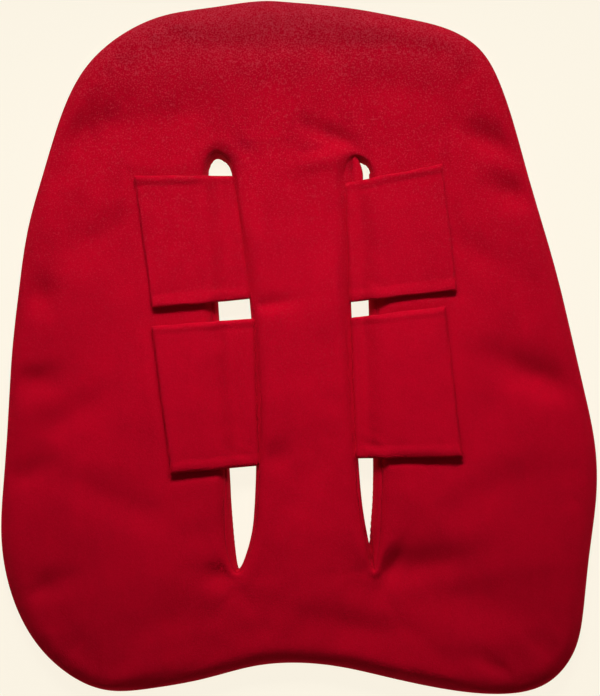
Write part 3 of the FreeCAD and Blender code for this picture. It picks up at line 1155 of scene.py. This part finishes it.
# ---- seams ----
class PROTECTOR_OT_seams(bpy.types.Operator):
    """Sew the closing seam round the rim, the seams of the slots' linings and the rows that hold the flaps"""

    bl_idname = "protector.seams"
    bl_label = "Seams"

    def execute(self, context):
        lines = PanelLines(RIM_SPACING)
        rim = [(x, y, 1.5 * MM) for x, y in lines.rim_at(0.85)]
        stitched("rim_seam", rim, True, "pad", "perimeter_stitching")
        for side, word in enumerate(SIDES):
            wall = [(x, y, 0.9 * MM) for x, y in lines.slot_at(side, 0.9, 0.05)]
            stitched(f"{word}_slot_seam", wall, True, "pad", f"slot_stitching_{word}")
        for name in FLAPS:
            flap = Flap(name)
            ends = [flap.root[0] + flap.up * 3 * MM, flap.root[1] - flap.up * 3 * MM]
            row = [(*(p + flap.out * 1.72 * MM), 3.3 * MM) for p in ends]
            stitched(f"{flap.body}_root_seam", row, False, "pad", f"{flap.body}_root_stitching")
        return {"FINISHED"}


# ---- stage ----
class PROTECTOR_OT_stage(bpy.types.Operator):
    """Set the pale floor, the soft lights and the camera straight above"""

    bl_idname = "protector.stage"
    bl_label = "Stage"

    def execute(self, context):
        scene = context.scene
        corners = [(x, y, -0.1 * MM) for x, y in ((-3, -3), (3, -3), (3, 3), (-3, 3))]
        floor = new_object("floor", corners, faces=[(0, 1, 2, 3)])
        floor.data.materials.append(self.floor_finish())
        self.light("window", (0.0, 0.37, 0.33), (0, -0.045, 0), (0.42, 0.12), 60, 0.47)
        self.light("ceiling", (0.0, 0.0, 1.0), (0, 0, 0), (0.7, 0.7), 180, 0.4)
        world = bpy.data.worlds.new("studio")
        scene.world = world
        world.use_nodes = True
        sky = world.node_tree.nodes["Background"].inputs
        sky["Color"].default_value, sky["Strength"].default_value = (0.9, 0.88, 0.85, 1), 0.08
        scene.view_settings.view_transform = "Standard"
        self.camera(scene)
        return {"FINISHED"}

    def floor_finish(self):
        """Paper that is lit from within for the most part, so that it stays even and pale."""
        finish, colour = Finish("pale_floor"), (*settings("finish").floor, 1)
        glow = finish.node("ShaderNodeEmission", None, {"Color": colour, "Strength": 1.035})
        paper = finish.node("ShaderNodeBsdfDiffuse", None, {"Color": colour})
        mixed = finish.node("ShaderNodeMixShader", None, {0: 0.08, 1: glow, 2: paper})
        finish.node("ShaderNodeOutputMaterial", None, {"Surface": mixed})
        return finish.material

    def light(self, name, place, target, size, spread, power):
        """Oblong lamp of nearly white light; its spread is in degrees."""
        data = bpy.data.lights.new(name, "AREA")
        data.shape, data.size, data.size_y, data.energy = "RECTANGLE", *size, power
        data.color, data.spread = (1.0, 0.98, 0.97), math.radians(spread)
        made = bpy.data.objects.new(name, data)
        made.location = place
        made.rotation_euler = (Vector(target) - Vector(place)).to_track_quat("-Z", "Y").to_euler()
        made.visible_camera = False
        bpy.context.scene.collection.objects.link(made)

    def camera(self, scene):
        data = bpy.data.cameras.new("camera")
        made = bpy.data.objects.new("camera", data)
        distance, view_height = 3.0, 0.348
        data.lens = data.sensor_width * distance / view_height
        made.location = (0.00336, 0.00146, distance + 0.006)
        made.rotation_euler = (0, 0, math.radians(-2.2))
        scene.collection.objects.link(made)
        scene.camera = made


class PROTECTOR_PT_sidebar(bpy.types.Panel):
    """Lists the pieces' settings and operators"""

    bl_idname = "PROTECTOR_PT_sidebar"
    bl_label = "Groin protector"
    bl_space_type = "VIEW_3D"
    bl_region_type = "UI"
    bl_category = "Protector"

    def draw(self, context):
        for name, group in SETTINGS.items():
            box = self.layout.box()
            box.label(text=group.__doc__)
            for prop in group.__annotations__:
                box.prop(getattr(context.scene, f"protector_{name}"), prop)
        for operator in OPERATORS:
            self.layout.operator(operator.bl_idname)


SETTINGS = {"panel": PanelSettings, "flap": FlapSettings, "seam": SeamSettings, "finish": FinishSettings}
OPERATORS = [
    PROTECTOR_OT_stage, PROTECTOR_OT_panel, PROTECTOR_OT_foams, PROTECTOR_OT_flaps, PROTECTOR_OT_hook_tapes,
    PROTECTOR_OT_seams,
]


def register():
    for group in (*SETTINGS.values(), *OPERATORS, PROTECTOR_PT_sidebar):
        bpy.utils.register_class(group)
    for name, group in SETTINGS.items():
        setattr(bpy.types.Scene, f"protector_{name}", PointerProperty(type=group))


def unregister():
    for name in SETTINGS:
        delattr(bpy.types.Scene, f"protector_{name}")
    for group in (PROTECTOR_PT_sidebar, *reversed(OPERATORS), *reversed(list(SETTINGS.values()))):
        bpy.utils.unregister_class(group)


def main():
    register()
    for operator in OPERATORS:
        group, name = operator.bl_idname.split(".")
        getattr(getattr(bpy.ops, group), name)()


if __name__ == "__main__":
    main()
